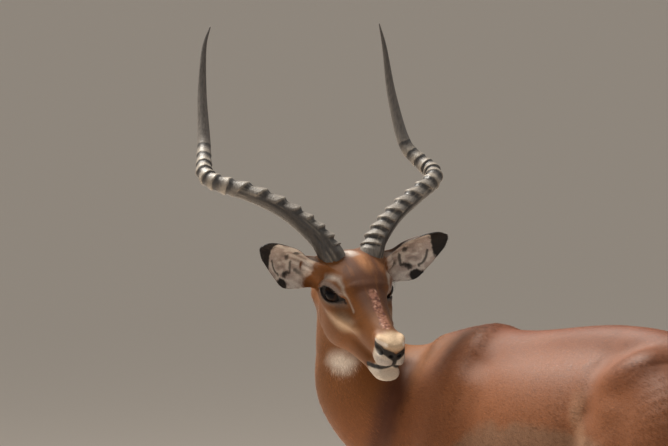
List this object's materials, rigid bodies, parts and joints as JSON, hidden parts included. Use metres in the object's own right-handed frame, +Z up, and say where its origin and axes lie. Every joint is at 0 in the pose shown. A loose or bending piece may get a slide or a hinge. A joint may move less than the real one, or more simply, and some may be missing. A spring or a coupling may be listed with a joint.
{
  "type": "impala antelope",
  "caption": "Life-size standing impala ram with lyre-shaped ringed horns, looking back over its left shoulder.",
  "frame": {"origin": "middle of the bounding box's footprint, on the floor under the hooves", "axes": "+Z up; the trunk faces -X and the animal's left side is -Y"},
  "size_m": [1.0786, 0.5164, 1.3649],
  "materials": {
    "coat": "short glossy animal coat",
    "eye": "wet gloss",
    "horn": "ridged horn, smooth towards the tip",
    "hoof": "worn horn"
  },
  "bodies": {
    "root": {"trunk": "coat", "neck": "coat", "head": "coat", "ear_left": "coat", "ear_right": "coat", "tail": "coat", "foreleg_upper_left": "coat", "foreleg_upper_right": "coat", "foreleg_lower_left": "coat", "foreleg_lower_right": "coat", "hindleg_upper_left": "coat", "hindleg_upper_right": "coat", "hindleg_lower_left": "coat", "hindleg_lower_right": "coat", "eye_left": "eye", "eye_right": "eye", "horn_left": "horn", "horn_right": "horn", "hoof_fore_left_outer": "hoof", "hoof_fore_left_inner": "hoof", "hoof_fore_right_outer": "hoof", "hoof_fore_right_inner": "hoof", "hoof_hind_left_outer": "hoof", "hoof_hind_left_inner": "hoof", "hoof_hind_right_outer": "hoof", "hoof_hind_right_inner": "hoof"}
  },
  "joints": []
}
